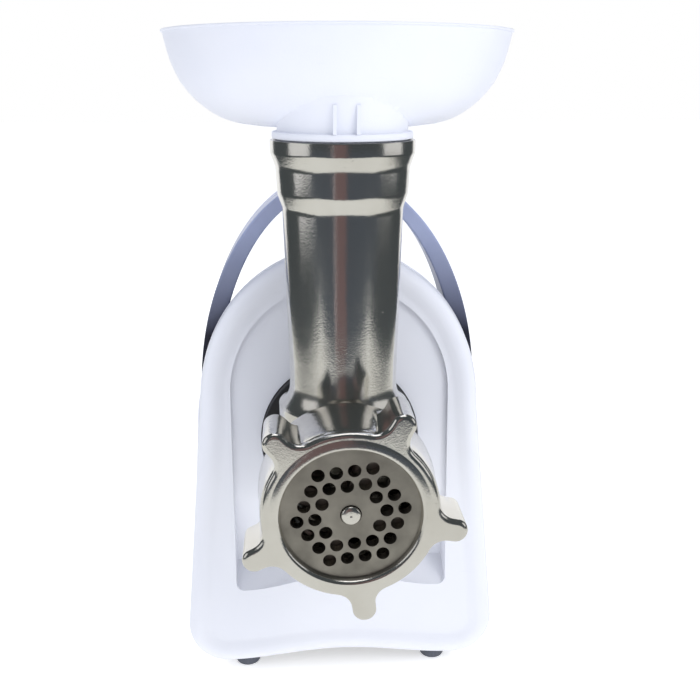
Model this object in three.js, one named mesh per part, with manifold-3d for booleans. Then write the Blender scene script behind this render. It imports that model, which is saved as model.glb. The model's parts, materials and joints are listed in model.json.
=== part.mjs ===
// Electric meat grinder with a die-cast head, in millimetres.
// +Z is up, the front faces -Y, and the origin is on the table under the middle of the machine.
import * as THREE from 'three';
import { mergeVertices } from 'three/addons/utils/BufferGeometryUtils.js';
import Module from 'manifold-3d';

const wasm = await Module();
wasm.setup();

// ---- driving dimensions ----
const gap = 0.3; // clearance between pieces that touch
const overallDepth = 265;
const frontmost = -overallDepth / 2; // front edge of the ring nut
const rearmost = overallDepth / 2; // back of the rear housing
const axisZ = 126; // height of the auger's axis

const plateRadius = 31; // number 8 cutting plate
const plateThickness = 5;
const plateFrontY = frontmost + 3;
const plateBackY = plateFrontY + plateThickness;
const holeRadius = 2.75;
const holeSpacing = 7.4;
const holePatternTurn = THREE.MathUtils.degToRad(6.6);

const nutLength = 31;
const nutOpeningRadius = 28.75;
const nutRadius = 37.5;
const lugTipRadius = 49;
const lugCount = 5;
const lugTurn = THREE.MathUtils.degToRad(-10.6); // first lug, below the horizontal
const lugLength = 25;

const threadRadius = 34;
const spigotRadius = 27;
const spigotBackY = -36;
const tubeY = plateFrontY + 54; // axis of the feed tube
const tubeRadius = 23.75;
const collarRadius = 30.5;
const collarTopZ = 272;

const trayRadius = 77;
const trayCentreY = tubeY + 36;
const trayRimZ = 316;
const trayFloorZ = collarTopZ + 4;
const trayWall = 2.2;

const housingTopZ = 220;
const housingBottomZ = 8;
const housingBaseHalf = 78;
const frontArch = { half: 68, springZ: 145, topZ: housingTopZ }; // straight sides end at springZ
const rearArches = [ // the rear housing is wider, lower, and falls towards the back
  { y: -36.7, half: 70.5, springZ: 130, topZ: 206 },
  { y: 30, half: 70, springZ: 124, topZ: 196 },
  { y: 100, half: 67, springZ: 112, topZ: 178 },
];
const baseCorner = 20;
const wall = 2.5;
const frontBaseY = -62;
const frontLean = 19; // the front face leans back by this much at its top
const seamY = -37; // joint between the two housings
const rearLean = 12;

const recessHalf = 53;
const recessSpringZ = 150;
const recessBottomZ = 48;
const socketRadius = 40.5;
const socketFrontY = -51.2;

const handleFrontY = -34.5;
const handleWidth = 26;
const handleHalf = 68;
const handleSpringZ = 145;
const handleRise = 108; // height of the outer ellipse above handleSpringZ
const handleFootZ = 152;

const footRadius = 6.5;
const footX = 49;
const footFrontY = -45;
const footRearY = 110;

const outputTeeth = 66;
const pinionTeeth = 11;
const outputModule = 1.3;
const wheelTeeth = 63;
const motorTeeth = 9;
const wheelModule = 0.9;
const compoundX = -28;
const compoundZ = axisZ - 41.5;
const motorX = 0;
const motorZ = compoundZ - 16.3;

// ---- finishes ----
const whitePlastic = { color: 0xf0f1fa, roughness: 0.35, metalness: 0 };
const trayPlastic = { color: 0xe8eaf6, roughness: 0.5, metalness: 0 };
const handlePlastic = { color: 0x8f98b8, roughness: 0.4, metalness: 0 };
const blackPlastic = { color: 0x151517, roughness: 0.5, metalness: 0 };
const greyRubber = { color: 0x5a5f69, roughness: 0.8, metalness: 0 };
const polishedMetal = { color: 0xd8d8d2, roughness: 0.12, metalness: 1 };
const satinSteel = { color: 0x969187, roughness: 0.35, metalness: 1 };
const gearPlastic = { color: 0xe6dfc8, roughness: 0.5, metalness: 0 };
const copper = { color: 0xb4682e, roughness: 0.4, metalness: 1 };
const bronze = { color: 0x9c7a3c, roughness: 0.5, metalness: 1 };

// ---- solids from three.js geometry ----
function toSolid(geometry) {
  const bare = geometry.clone();
  bare.deleteAttribute('normal');
  bare.deleteAttribute('uv');
  const merged = mergeVertices(bare);
  const places = merged.attributes.position.array;
  const corners = merged.index.array;
  const triangles = [];
  let volume = 0;
  for (let i = 0; i < corners.length; i += 3) {
    const [a, b, c] = corners.slice(i, i + 3);
    if (a === b || b === c || a === c) continue;
    triangles.push(a, b, c);
    const [pa, pb, pc] = [a, b, c].map((k) => new THREE.Vector3().fromArray(places, 3 * k));
    volume += pa.dot(pb.cross(pc));
  }
  if (volume < 0) triangles.reverse();
  return new wasm.Manifold(new wasm.Mesh({
    numProp: 3,
    vertProperties: new Float32Array(places),
    triVerts: new Uint32Array(triangles),
  }));
}

function toGeometry(solid) {
  const { vertProperties, triVerts } = solid.getMesh();
  const geometry = new THREE.BufferGeometry();
  geometry.setAttribute('position', new THREE.BufferAttribute(vertProperties, 3));
  geometry.setIndex(new THREE.BufferAttribute(triVerts, 1));
  geometry.computeVertexNormals();
  return geometry;
}

const grinder = new THREE.Group();

function add(name, solid, finish) {
  const mesh = new THREE.Mesh(toGeometry(solid), new THREE.MeshStandardMaterial(finish));
  mesh.name = name;
  grinder.add(mesh);
}

function box(x0, x1, y0, y1, z0, z1) {
  const geometry = new THREE.BoxGeometry(x1 - x0, y1 - y0, z1 - z0);
  return toSolid(geometry.translate((x0 + x1) / 2, (y0 + y1) / 2, (z0 + z1) / 2));
}

function rodY(radius, y0, y1, x = 0, z = axisZ, sides = 24) {
  const geometry = new THREE.CylinderGeometry(radius, radius, y1 - y0, sides);
  return toSolid(geometry.translate(x, (y0 + y1) / 2, z));
}

function rodZ(radius, z0, z1, x, y, sides = 24) {
  const geometry = new THREE.CylinderGeometry(radius, radius, z1 - z0, sides);
  return toSolid(geometry.rotateX(Math.PI / 2).translate(x, y, (z0 + z1) / 2));
}

// profiles are [radius, place along the axis]
function turnY(profile, x = 0, z = axisZ, sides = 24) {
  const points = profile.map(([r, y]) => new THREE.Vector2(r, y));
  return toSolid(new THREE.LatheGeometry(points, sides).translate(x, 0, z));
}

function turnZ(profile, x, y, sides = 24) {
  const points = profile.map(([r, z]) => new THREE.Vector2(r, z));
  return toSolid(new THREE.LatheGeometry(points, sides).rotateX(Math.PI / 2).translate(x, y, 0));
}

// a shape drawn in the front view, x to the right and y up, given a depth along Y
function prismY(shape, y0, y1, x = 0, z = 0, bevel = 0) {
  const geometry = new THREE.ExtrudeGeometry(shape, {
    depth: y1 - y0 - 2 * bevel,
    bevelEnabled: bevel > 0,
    bevelSize: bevel,
    bevelThickness: bevel,
    bevelOffset: -bevel,
    bevelSegments: 1,
  });
  return toSolid(geometry.rotateX(Math.PI / 2).translate(x, y1 - bevel, z));
}

// joins rings of equal point counts into a closed solid with flat ends
function loft(rings) {
  const count = rings[0].length;
  const places = rings.flat().flatMap((p) => [p.x, p.y, p.z]);
  const corners = [];
  for (let k = 0; k < rings.length - 1; k++) {
    for (let i = 0; i < count; i++) {
      const j = (i + 1) % count;
      const [a, b, c, d] = [k * count + i, k * count + j, (k + 1) * count + j, (k + 1) * count + i];
      corners.push(a, b, c, a, c, d);
    }
  }
  for (const [ring, flip] of [[0, true], [rings.length - 1, false]]) {
    const middle = places.length / 3;
    const centre = rings[ring].reduce((sum, p) => sum.add(p), new THREE.Vector3()).divideScalar(count);
    places.push(centre.x, centre.y, centre.z);
    for (let i = 0; i < count; i++) {
      const pair = [ring * count + i, ring * count + (i + 1) % count];
      if (flip) pair.reverse();
      corners.push(middle, ...pair);
    }
  }
  const geometry = new THREE.BufferGeometry();
  geometry.setAttribute('position', new THREE.Float32BufferAttribute(places, 3));
  geometry.setIndex(corners);
  return toSolid(geometry);
}

// ---- housing ----
// half of the arch-shaped outline, from the bottom centre round to the top, as [x, z]
function halfOutline({ half: springHalf, springZ, topZ }) {
  const half = [];
  const straight = housingBaseHalf - baseCorner;
  for (let i = 0; i < 4; i++) {
    const x = straight * i / 4;
    half.push([x, housingBottomZ + 2.2 * (1 + Math.cos(Math.PI * x / straight))]);
  }
  for (let i = 0; i <= 4; i++) {
    const angle = -Math.PI / 2 + Math.PI / 2 * i / 4;
    half.push([
      straight + baseCorner * Math.cos(angle),
      housingBottomZ + baseCorner * (1 + Math.sin(angle)),
    ]);
  }
  const sideBottomZ = housingBottomZ + baseCorner;
  for (let i = 1; i < 4; i++) {
    const t = i / 4;
    half.push([
      THREE.MathUtils.lerp(housingBaseHalf, springHalf, t),
      THREE.MathUtils.lerp(sideBottomZ, springZ, t),
    ]);
  }
  for (let i = 0; i <= 9; i++) {
    const angle = Math.PI / 2 * i / 9;
    half.push([springHalf * Math.cos(angle), springZ + (topZ - springZ) * Math.sin(angle)]);
  }
  return half;
}

function housingOutline(inset, arch) {
  const right = halfOutline(arch);
  const left = right.slice(1, -1).reverse().map(([x, z]) => [-x, z]);
  const ring = [...right, ...left];
  return ring.map(([x, z], i) => {
    const [xa, za] = ring[(i + ring.length - 1) % ring.length];
    const [xb, zb] = ring[(i + 1) % ring.length];
    const length = Math.hypot(xb - xa, zb - za);
    return [x - inset * (zb - za) / length, z + inset * (xb - xa) / length];
  });
}

// the base plate fills this opening in the underside of both housings
const baseZ = 14;
const baseHalf = 60;
const baseY = [-52, 118];

function baseOpening() {
  return box(-baseHalf - gap, baseHalf + gap, baseY[0] - gap, baseY[1] + gap, 0, baseZ + 5);
}

const heightShare = (z) => (z - housingBottomZ) / (housingTopZ - housingBottomZ);
const frontFaceY = (z) => frontBaseY + frontLean * heightShare(z);
const rearFaceY = (z) => rearmost - rearLean * heightShare(z);

function housingRing(inset, placeY, arch = frontArch) {
  return housingOutline(inset, arch).map(([x, z]) => new THREE.Vector3(x, placeY(z), z));
}

// depth of the recessed panel behind the front face: shallow above, a deep cove below
function recessDepth(z) {
  const cove = THREE.MathUtils.smoothstep(-z, -100, -recessBottomZ - 9);
  const ledge = Math.min(1, (z - recessBottomZ) / 9);
  return Math.max(0.1, (2.5 + 13 * cove) * ledge);
}

function recessCutter(grow) {
  const rings = [];
  const straightHeights = [0, 3, 6, 9, 16, 24, 32, 42, 52, 75].map((rise) => recessBottomZ + rise);
  const archHeights = [0, 15, 30, 45, 60, 75, 86].map((angle) => (
    recessSpringZ + recessHalf * Math.sin(THREE.MathUtils.degToRad(angle))
  ));
  for (const z of [...straightHeights, ...archHeights]) {
    const rise = Math.max(0, z - recessSpringZ);
    const half = Math.sqrt(recessHalf ** 2 - rise ** 2) + grow;
    const [front, back] = [frontFaceY(z) - 12, frontFaceY(z) + recessDepth(z) + grow];
    const level = z === recessBottomZ ? z - grow : z + (rise > 0 ? grow : 0);
    rings.push([[-half, front], [half, front], [half, back], [-half, back]].map(([x, y]) => (
      new THREE.Vector3(x, y, level)
    )));
  }
  return loft(rings);
}

function frontHousing() {
  const outer = loft([
    housingRing(7, (z) => frontFaceY(z)),
    housingRing(1.8, (z) => frontFaceY(z) + 2),
    housingRing(0, (z) => frontFaceY(z) + 6),
    housingRing(0, () => seamY),
  ]);
  const inner = loft([
    housingRing(7 + wall, (z) => frontFaceY(z) + wall),
    housingRing(wall, (z) => frontFaceY(z) + 6 + wall / 2),
    housingRing(wall, () => seamY + 1),
  ]);
  const reach = loft([-80, 0].map((y) => housingRing(wall + 1, () => y, rearArches[0])));
  const cavity = inner.intersect(reach).subtract(recessCutter(wall));
  return outer
    .subtract(cavity)
    .subtract(recessCutter(0))
    .subtract(rodY(socketRadius + gap, -80, seamY + 1, 0, axisZ, 40))
    .subtract(baseOpening());
}

// outline of the handle in the front view, grown all round by a clearance
function handleShape(grow) {
  const footInset = 9;
  const outerA = handleHalf + grow;
  const outerB = handleRise + grow;
  const innerA = handleHalf - footInset - grow;
  const innerB = handleRise - 6 - grow;
  const foot = handleFootZ - handleSpringZ - grow;
  const [outerTurn, innerTurn] = [Math.asin(foot / outerB), Math.asin(foot / innerB)];
  const shape = new THREE.Shape();
  shape.absellipse(0, 0, outerA, outerB, outerTurn, Math.PI - outerTurn, false);
  shape.absellipse(0, 0, innerA, innerB, Math.PI - innerTurn, innerTurn, true);
  return shape;
}

function handleSolid(grow) {
  const [front, back] = [handleFrontY - grow, handleFrontY + handleWidth + grow];
  return prismY(handleShape(grow), front, back, 0, handleSpringZ, grow > 0 ? 0 : 1.2);
}

const rockerZ = 140;
const cordZ = 36;
const buttonY = 14;
const buttonSeatZ = 198; // top of the rear housing around the lock button

function rearHousing() {
  const [frontEnd, middle, backEnd] = rearArches;
  const outer = loft([
    housingRing(0, () => frontEnd.y, frontEnd),
    housingRing(0, () => middle.y, middle),
    housingRing(0, (z) => rearFaceY(z) - 30, backEnd),
    housingRing(2.5, (z) => rearFaceY(z) - 16, backEnd),
    housingRing(8, (z) => rearFaceY(z) - 5, backEnd),
    housingRing(16, (z) => rearFaceY(z), backEnd),
  ]);
  const inner = loft([
    housingRing(wall + 1, () => frontEnd.y - 1, frontEnd),
    housingRing(wall, () => middle.y, middle),
    housingRing(wall, (z) => rearFaceY(z) - 30, backEnd),
    housingRing(5, (z) => rearFaceY(z) - 18, backEnd),
    housingRing(16, (z) => rearFaceY(z) - wall, backEnd),
  ]);
  let shell = outer
    .subtract(inner)
    .subtract(handleSolid(gap))
    .subtract(baseOpening())
    .subtract(box(-23, 23, rearmost - 30, rearmost, rockerZ - 13, rockerZ + 13))
    .subtract(rodY(7.3, rearmost - 20, rearmost + 1, 0, cordZ, 16))
    .subtract(rodZ(9.3, buttonSeatZ - 10, buttonSeatZ + 5, 0, buttonY, 20));
  for (let i = 0; i < 6; i++) {
    const z = 56 + 10 * i;
    shell = shell.subtract(box(-26, 26, rearmost - 20, rearmost + 1, z, z + 4));
  }
  return shell;
}

add('front_housing', frontHousing(), whitePlastic);
add('rear_housing', rearHousing(), whitePlastic);
add('carry_handle', handleSolid(0), handlePlastic);

// ---- base, feet and their screws ----
let basePlate = box(-baseHalf, baseHalf, ...baseY, baseZ, baseZ + 3);
const feet = [
  ['front_left', -footX, footFrontY],
  ['front_right', footX, footFrontY],
  ['rear_left', -footX, footRearY],
  ['rear_right', footX, footRearY],
];
for (const [place, x, y] of feet) {
  basePlate = basePlate.subtract(rodZ(2.3, baseZ - 1, baseZ + 4, x, y, 12));
  const foot = turnZ([
    [0, 0], [footRadius - 1.2, 0], [footRadius - 0.4, 1], [footRadius, baseZ - gap], [2.3, baseZ - gap],
    [2.3, 5], [0, 5],
  ], x, y, 14);
  add(`foot_${place}`, foot, greyRubber);
  const screw = turnZ([
    [0, 5.5], [1.9, 5.5], [1.9, baseZ + 3 + gap], [4, baseZ + 3 + gap], [3.4, baseZ + 5.5], [0, baseZ + 6],
  ], x, y, 8);
  add(`foot_screw_${place}`, screw, satinSteel);
}
for (let i = 0; i < 6; i++) {
  const y = 30 + 12 * i;
  basePlate = basePlate.subtract(box(-20, 20, y, y + 5, baseZ - 1, baseZ + 4));
}
add('base_plate', basePlate, blackPlastic);

// ---- socket that takes the head ----
const socketBackY = -38;
add('socket_ring', turnY([
  [spigotRadius + 0.4, socketFrontY], [socketRadius - 1.5, socketFrontY], [socketRadius, socketFrontY + 1.5],
  [socketRadius, socketBackY], [spigotRadius + 0.4, socketBackY], [spigotRadius + 0.4, socketFrontY],
], 0, axisZ, 32), blackPlastic);

// ---- head ----
function headCasting() {
  const barrel = turnY([
    [0, plateFrontY + 1], [threadRadius - 0.8, plateFrontY + 1], [threadRadius, plateFrontY + 1.8],
    [threadRadius, frontmost + nutLength], [nutRadius, frontmost + nutLength + gap],
    [nutRadius, frontmost + nutLength + 2.8], [threadRadius, frontmost + nutLength + 4.5],
    [threadRadius - 1.5, -88], [30, -62], [29, socketFrontY - gap], [spigotRadius, socketFrontY - gap],
    [spigotRadius, spigotBackY], [0, spigotBackY],
  ]);
  const tube = turnZ([
    [0, axisZ], [tubeRadius, axisZ], [tubeRadius, axisZ + 40], [tubeRadius + 2, axisZ + 117],
    [tubeRadius + 4, axisZ + 123.7], [collarRadius - 2, axisZ + 135], [collarRadius, axisZ + 140.6],
    [collarRadius, collarTopZ - 0.6], [collarRadius - 0.6, collarTopZ], [0, collarTopZ],
  ], 0, tubeY);
  const barrelBore = turnY([
    [0, plateFrontY - 1], [plateRadius + gap, plateFrontY - 1], [plateRadius + gap, plateBackY + gap],
    [29.5, plateBackY + gap], [29.5, -115], [25.5, -110], [24.8, -44], [8.6, -44], [8.6, spigotBackY + 1],
    [0, spigotBackY + 1],
  ]);
  const tubeBore = turnZ([
    [0, axisZ], [tubeRadius - 2.5, axisZ], [tubeRadius - 0.5, axisZ + 128], [28, axisZ + 134],
    [28, collarTopZ + 1], [0, collarTopZ + 1],
  ], 0, tubeY);
  return barrel.add(tube).subtract(barrelBore).subtract(tubeBore);
}
add('head_casting', headCasting(), polishedMetal);

const pinRadius = 4.15;

// hexagonal rows of holes, kept where they lie in the second and third rings from the middle
function cuttingPlate() {
  let plate = rodY(plateRadius, plateFrontY, plateBackY, 0, axisZ, 40);
  plate = plate.subtract(rodY(pinRadius + gap, plateFrontY - 1, plateBackY + 1, 0, axisZ, 16));
  const holes = [];
  for (let row = -3; row <= 3; row++) {
    for (let step = -3; step <= 3; step++) {
      const ring = Math.max(Math.abs(row), Math.abs(step), Math.abs(row + step));
      if (ring < 2 || ring > 3) continue;
      const place = new THREE.Vector2(step + row / 2, row * Math.sqrt(3) / 2)
        .multiplyScalar(holeSpacing)
        .rotateAround(new THREE.Vector2(), holePatternTurn);
      holes.push(rodY(holeRadius, plateFrontY - 1, plateBackY + 1, place.x, axisZ + place.y, 8));
    }
  }
  return holes.reduce((solid, hole) => solid.subtract(hole), plate);
}
add('cutting_plate', cuttingPlate(), satinSteel);

// ring nut: a round body with five rounded lugs along its front part
function lugOutline() {
  const shape = new THREE.Shape();
  const points = [];
  for (let i = 0; i < lugCount; i++) {
    const middle = lugTurn - 2 * Math.PI * i / lugCount;
    const tipHalf = 0.085;
    const rootHalf = 0.3;
    for (const [turn, radius] of [
      [rootHalf, nutRadius - 0.4], [0.19, nutRadius + 2], [tipHalf + 0.04, nutRadius + 6],
      [tipHalf, lugTipRadius - 2], [tipHalf / 2, lugTipRadius - 0.3],
      [-tipHalf / 2, lugTipRadius - 0.3], [-tipHalf, lugTipRadius - 2], [-tipHalf - 0.04, nutRadius + 6],
      [-0.19, nutRadius + 2], [-rootHalf, nutRadius - 0.4], [-0.46, nutRadius - 1], [-0.628, nutRadius - 1],
      [-0.8, nutRadius - 1],
    ]) {
      points.push(new THREE.Vector2(radius * Math.cos(middle + turn), radius * Math.sin(middle + turn)));
    }
  }
  shape.setFromPoints(points);
  return shape;
}

function ringNut() {
  const body = turnY([
    [0, frontmost], [33, frontmost], [nutRadius - 1.5, frontmost + 2], [nutRadius, frontmost + 6],
    [nutRadius + 1, frontmost + nutLength], [0, frontmost + nutLength],
  ], 0, axisZ, 30);
  const lugs = prismY(lugOutline(), frontmost + 0.8, frontmost + lugLength, 0, axisZ, 1.2);
  const bore = turnY([
    [0, frontmost - 1], [nutOpeningRadius + 1, frontmost - 1], [nutOpeningRadius, frontmost + 1],
    [nutOpeningRadius, plateFrontY - gap], [threadRadius + gap, plateFrontY - gap],
    [threadRadius + gap, frontmost + nutLength + 1], [0, frontmost + nutLength + 1],
  ], 0, axisZ, 30);
  return body.add(lugs).subtract(bore);
}
add('ring_nut', ringNut(), polishedMetal);

// ---- auger, knife and washer ----
const knifeFrontY = plateBackY + gap;
const knifeBackY = knifeFrontY + 6;
const augerFrontY = knifeBackY + gap;
const augerBackY = -47;
const augerRadius = 24;

// one flight round a tapered core, built of turned sections
function augerScrew() {
  const rings = [];
  const steps = 28;
  const turns = 3;
  for (let k = 0; k <= steps; k++) {
    const share = k / steps;
    const core = THREE.MathUtils.lerp(10, 14, share);
    const ring = [];
    for (let i = 0; i < 14; i++) {
      const angle = 2 * Math.PI * i / 14;
      const swing = Math.cos(angle + 2 * Math.PI * turns * share);
      const bump = THREE.MathUtils.smoothstep(swing, 0.35, 0.95);
      const radius = core + (augerRadius - core) * bump;
      ring.push(new THREE.Vector3(
        radius * Math.cos(angle),
        THREE.MathUtils.lerp(augerFrontY, augerBackY, share),
        axisZ + radius * Math.sin(angle),
      ));
    }
    rings.push(ring);
  }
  return loft(rings);
}

const driveRadius = 6.5;
const driveBackY = -12;
const auger = augerScrew()
  .add(turnY([
    [0, plateFrontY - 2],
    [2, plateFrontY - 1.8],
    [pinRadius - 0.6, plateFrontY - 1],
    [pinRadius, plateFrontY],
    [pinRadius, augerFrontY + 2],
    [0, augerFrontY + 2],
  ], 0, axisZ, 16))
  .add(rodY(8.2, augerBackY - 1, spigotBackY + 2, 0, axisZ, 20))
  .add(rodY(driveRadius, spigotBackY, driveBackY, 0, axisZ, 6));
add('auger', auger, polishedMetal);

const washerBackY = augerBackY + gap + 2;
add('thrust_washer', rodY(18, augerBackY + gap, washerBackY)
  .subtract(rodY(8.5, augerBackY, washerBackY + 1)), gearPlastic);

let knife = rodY(9, knifeFrontY, knifeBackY, 0, axisZ, 20);
for (let i = 0; i < 2; i++) {
  const blade = new THREE.BoxGeometry(56, knifeBackY - knifeFrontY, 8);
  knife = knife.add(toSolid(blade.rotateY(Math.PI / 2 * i + 0.35)
    .translate(0, (knifeFrontY + knifeBackY) / 2, axisZ)));
}
knife = knife.subtract(rodY(pinRadius + gap, knifeFrontY - 1, knifeBackY + 1, 0, axisZ, 16));
add('knife', knife, satinSteel);

// ---- food tray ----
function hopperTray() {
  const bowl = [
    [0, trayFloorZ], [32, trayFloorZ], [44, trayFloorZ + 1.2], [52, trayFloorZ + 3.3],
    [59.5, trayFloorZ + 7.6],
    [66.7, trayFloorZ + 14.2], [72, trayFloorZ + 22], [75, trayFloorZ + 33], [trayRadius, trayRimZ],
    [trayRadius - trayWall, trayRimZ], [75 - trayWall, trayFloorZ + 33], [72 - trayWall, trayFloorZ + 23],
    [65, trayFloorZ + 16], [58, trayFloorZ + 9.8], [51, trayFloorZ + 5.6], [43.5, trayFloorZ + 3.5],
    [32, trayFloorZ + trayWall], [0, trayFloorZ + trayWall],
  ];
  const neck = [
    [0, 262], [26.5, 262], [27.4, collarTopZ - 1], [27.4, collarTopZ + gap], [29.5, collarTopZ + gap],
    [29.5, trayFloorZ + 1], [0, trayFloorZ + 1],
  ];
  return turnZ(bowl, 0, trayCentreY, 32)
    .add(turnZ(neck, 0, tubeY, 24))
    .subtract(rodZ(24.5, 260, trayFloorZ + 5, 0, tubeY, 24));
}
add('hopper_tray', hopperTray(), trayPlastic);

// ---- gears ----
function gearOutline(teeth, module, turn) {
  const pitchRadius = teeth * module / 2;
  const [tip, root] = [pitchRadius + 0.8 * module, pitchRadius - 1.1 * module];
  const halfTooth = Math.PI * module / 4 * 0.82;
  const slope = Math.tan(THREE.MathUtils.degToRad(20));
  const tipHalf = (halfTooth - slope * 0.8 * module) / tip;
  const rootHalf = (halfTooth + slope * 0.88 * module) / root;
  const points = [];
  for (let i = 0; i < teeth; i++) {
    const middle = turn + 2 * Math.PI * i / teeth;
    for (const [radius, offset] of [[root, -rootHalf], [tip, -tipHalf], [tip, tipHalf], [root, rootHalf]]) {
      points.push(new THREE.Vector2(radius * Math.cos(middle + offset), radius * Math.sin(middle + offset)));
    }
  }
  return new THREE.Shape().setFromPoints(points);
}

const outputY = [-28, -16];
const wheelY = [-12, -3];
const toCompound = Math.atan2(compoundZ - axisZ, compoundX);
const toMotor = Math.atan2(motorZ - compoundZ, motorX - compoundX);

// output gear, pressed on the drive socket that takes the auger's hexagonal end
const socketShaftRadius = 11;
add('output_gear', prismY(gearOutline(outputTeeth, outputModule, toCompound), ...outputY, 0, axisZ)
  .subtract(rodY(socketShaftRadius + gap, -40, 0)), gearPlastic);
add('drive_socket', rodY(socketShaftRadius, -31, 2)
  .subtract(rodY(driveRadius + 0.4, -35, driveBackY + 1, 0, axisZ, 6)), satinSteel);

// compound wheel and its steel pinion on a fixed axle
const axleRadius = 3;
add('compound_wheel', prismY(gearOutline(wheelTeeth, wheelModule, toMotor), ...wheelY, compoundX, compoundZ)
  .subtract(rodY(4.4 + gap, -20, 0, compoundX, compoundZ, 16)), gearPlastic);
const pinionPhase = toCompound + Math.PI + Math.PI / pinionTeeth;
const pinionOutline = gearOutline(pinionTeeth, outputModule, pinionPhase);
add('compound_pinion', prismY(pinionOutline, -28.5, -13, compoundX, compoundZ)
  .add(rodY(4.4, -14, -3, compoundX, compoundZ, 16))
  .subtract(rodY(axleRadius + gap, -30, 0, compoundX, compoundZ, 16)), satinSteel);
add('compound_axle', rodY(axleRadius, -33, 3, compoundX, compoundZ, 16), satinSteel);

// ---- gearbox: a cup that opens to the back, and its cover ----
function gearboxOutline(grow) {
  const shape = new THREE.Shape();
  shape.absarc(0, axisZ, 50 + grow, 0, Math.PI, false);
  shape.absarc(-18, 84, 45 + grow, Math.PI, 1.5 * Math.PI, false);
  shape.absarc(5, 84, 45 + grow, -Math.PI / 2, 0, false);
  return shape;
}
const gearboxFrontY = -34.5;
const coverY = [4, 7];
add('gearbox_case', prismY(gearboxOutline(0), gearboxFrontY, coverY[0] - gap)
  .subtract(prismY(gearboxOutline(-2.5), gearboxFrontY + 2.5, coverY[0] + 1))
  .subtract(rodY(14 + gap, -40, 0))
  .subtract(rodY(axleRadius + gap, -40, 0, compoundX, compoundZ, 16)), blackPlastic);
add('gearbox_cover', prismY(gearboxOutline(0), ...coverY)
  .subtract(rodY(5, 0, 10, motorX, motorZ)), blackPlastic);
add('output_bush', rodY(14, gearboxFrontY + gap, -28.5)
  .subtract(rodY(socketShaftRadius + gap, -40, -20)), bronze);

// ---- motor ----
const shaftRadius = 2.5;
add('motor_shaft', rodY(shaftRadius, -16, 92, motorX, motorZ, 14), satinSteel);
const motorPhase = toMotor + Math.PI + Math.PI / motorTeeth;
add('motor_pinion', prismY(gearOutline(motorTeeth, wheelModule, motorPhase), -13, -2, motorX, motorZ)
  .subtract(rodY(shaftRadius + 0.01, -20, 0, motorX, motorZ, 14)), satinSteel);
function collar(name, radius, y0, y1, finish, sides = 24) {
  add(name, rodY(radius, y0, y1, motorX, motorZ, sides)
    .subtract(rodY(shaftRadius + gap, y0 - 1, y1 + 1, motorX, motorZ, 14)), finish);
}
collar('front_motor_bearing', 8, 8, 13, bronze);
collar('armature_core', 19, 22, 54, satinSteel);
collar('commutator', 10, 60, 72, copper);
collar('rear_motor_bearing', 8, 75, 80, bronze);
const motorSleeve = rodY(37, 24, 52, motorX, motorZ, 28)
  .subtract(rodY(20.5, 20, 60, motorX, motorZ, 24));
const coilWindows = box(-13, 13, 20, 60, motorZ - 32, motorZ + 32)
  .subtract(rodY(23, 20, 60, motorX, motorZ, 24));
add('stator', motorSleeve.subtract(coilWindows), satinSteel);
for (const [name, side] of [['field_coil_upper', 1], ['field_coil_lower', -1]]) {
  const z = motorZ + side * 27.5;
  add(name, box(-12, 12, 19, 57, z - 3.5, z + 3.5), copper);
}
const bracketY = [75, 80];
add('motor_bracket', box(-36, 36, ...bracketY, motorZ - 10, motorZ + 10)
  .subtract(rodY(8 + gap, 70, 85, motorX, motorZ)), blackPlastic);
for (const [name, side] of [['brush_holder_left', -1], ['brush_holder_right', 1]]) {
  const x = side * 19;
  add(name, box(x - 8, x + 8, 62, 70, motorZ - 4, motorZ + 4), bronze);
}
let fan = rodY(9, 84, 92, motorX, motorZ, 20);
for (let i = 0; i < 4; i++) {
  const blade = new THREE.BoxGeometry(60, 8, 2);
  fan = fan.add(toSolid(blade.rotateY(Math.PI / 4 * i).translate(motorX, 88, motorZ)));
}
add('fan', fan.subtract(rodY(shaftRadius + gap, 80, 95, motorX, motorZ, 14)), blackPlastic);

// ---- lock button on the top, with its spring ----
const buttonRadius = 9;
const stemRadius = 3;
const stemFootZ = 180.5;
add('lock_button', rodZ(buttonRadius, buttonSeatZ - 5, buttonSeatZ + 5, 0, buttonY, 24)
  .add(rodZ(stemRadius, stemFootZ, buttonSeatZ - 4, 0, buttonY, 12)), handlePlastic);
const coilRadius = 5.5;
const coilFootZ = 182;
const coilSteps = 32; // eight to a turn
const coilRise = 0.3; // from one step to the next
const wireRadius = 0.6;
const coilPoints = Array.from({ length: coilSteps + 1 }, (_, i) => new THREE.Vector3(
  coilRadius * Math.cos(Math.PI / 4 * i),
  buttonY + coilRadius * Math.sin(Math.PI / 4 * i),
  coilFootZ + i * coilRise,
));
const springPath = new THREE.CatmullRomCurve3(coilPoints);
const wire = new THREE.Shape().absarc(0, 0, wireRadius, 0, 2 * Math.PI, false);
const wireSection = new THREE.Shape(wire.getPoints(4));
add('lock_spring', toSolid(new THREE.ExtrudeGeometry(wireSection, {
  steps: coilSteps,
  extrudePath: springPath,
})), satinSteel);
add('lock_guide', box(-14, 14, buttonY - 12, buttonY + 12, 178, 181)
  .subtract(rodZ(stemRadius + gap, 177, coilFootZ, 0, buttonY, 12)), blackPlastic);

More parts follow.
